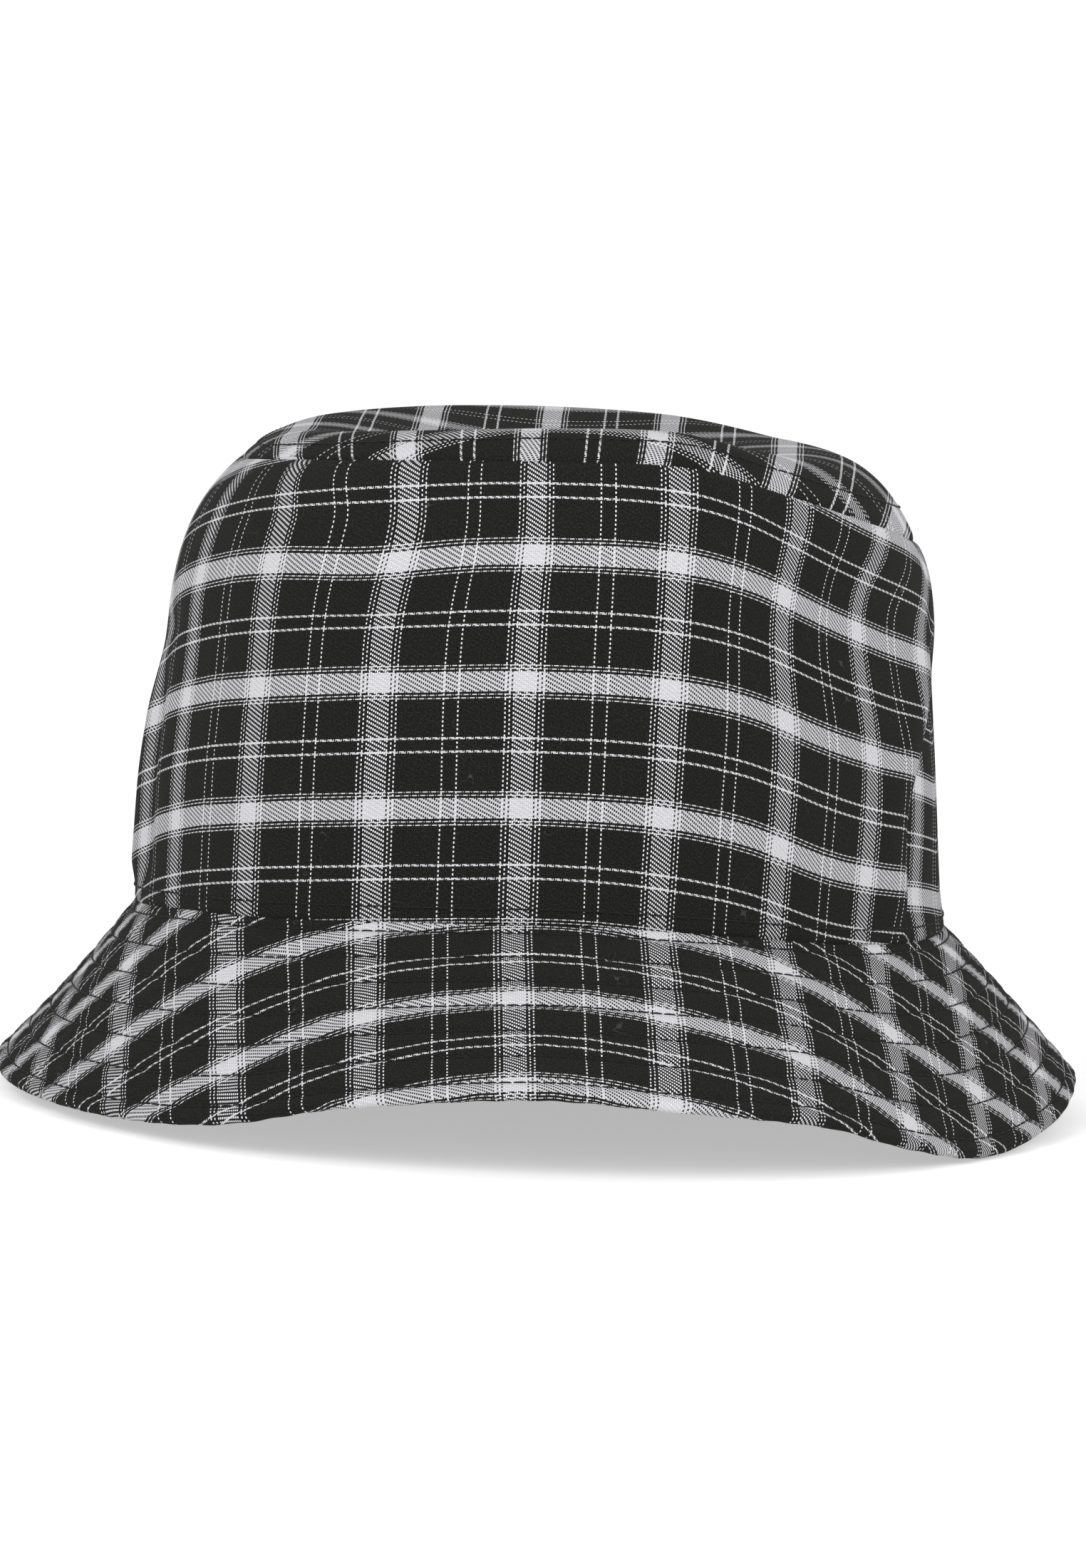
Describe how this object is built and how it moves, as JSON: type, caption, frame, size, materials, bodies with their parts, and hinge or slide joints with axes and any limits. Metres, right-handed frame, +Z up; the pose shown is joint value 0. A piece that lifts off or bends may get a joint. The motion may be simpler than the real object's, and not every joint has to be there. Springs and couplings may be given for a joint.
{
  "type": "bucket hat",
  "caption": "Soft bucket hat in a black and white twill plaid: a tapered crown with an oval tip and a sloping, stitched brim that dips to four feet.",
  "frame": {"origin": "on the ground, under the middle of the crown", "axes": "+Z up, the front faces -Y, +X is the right side as seen from the front"},
  "size_m": [0.2378, 0.2848, 0.15],
  "materials": {
    "plaid_twill": "brushed 2/2 twill, black ground with white checks",
    "interlining": "matt non-woven",
    "sweatband_cotton": "matt cotton twill",
    "seam_tape": "matt cotton tape",
    "label_satin": "satin, blank",
    "black_thread": "spun polyester"
  },
  "bodies": {
    "hat": {"crown_tip": "plaid_twill", "crown_side_front": "plaid_twill", "crown_side_back": "plaid_twill", "brim_top_front": "plaid_twill", "brim_top_back": "plaid_twill", "brim_under_front": "plaid_twill", "brim_under_back": "plaid_twill", "brim_stiffener_front": "interlining", "brim_stiffener_back": "interlining", "sweatband": "sweatband_cotton", "tip_seam_tape": "seam_tape", "left_seam_tape": "seam_tape", "right_seam_tape": "seam_tape", "tip_topstitch": "black_thread", "crown_base_topstitch": "black_thread", "sweatband_stitch": "black_thread", "brim_stitch_row_1": "black_thread", "brim_stitch_row_2": "black_thread", "brim_stitch_row_3": "black_thread", "brim_stitch_row_4": "black_thread", "brim_stitch_row_5": "black_thread", "brim_stitch_row_6": "black_thread", "brim_stitch_row_7": "black_thread"},
    "label": {"care_label": "label_satin"}
  },
  "joints": [
    {"name": "label_flap", "type": "hinge", "parent": "hat", "child": "label", "pos_m": [0.08132, 0, 0.077], "axis": [0, 0, 1], "range_deg": [0, 162]}
  ]
}
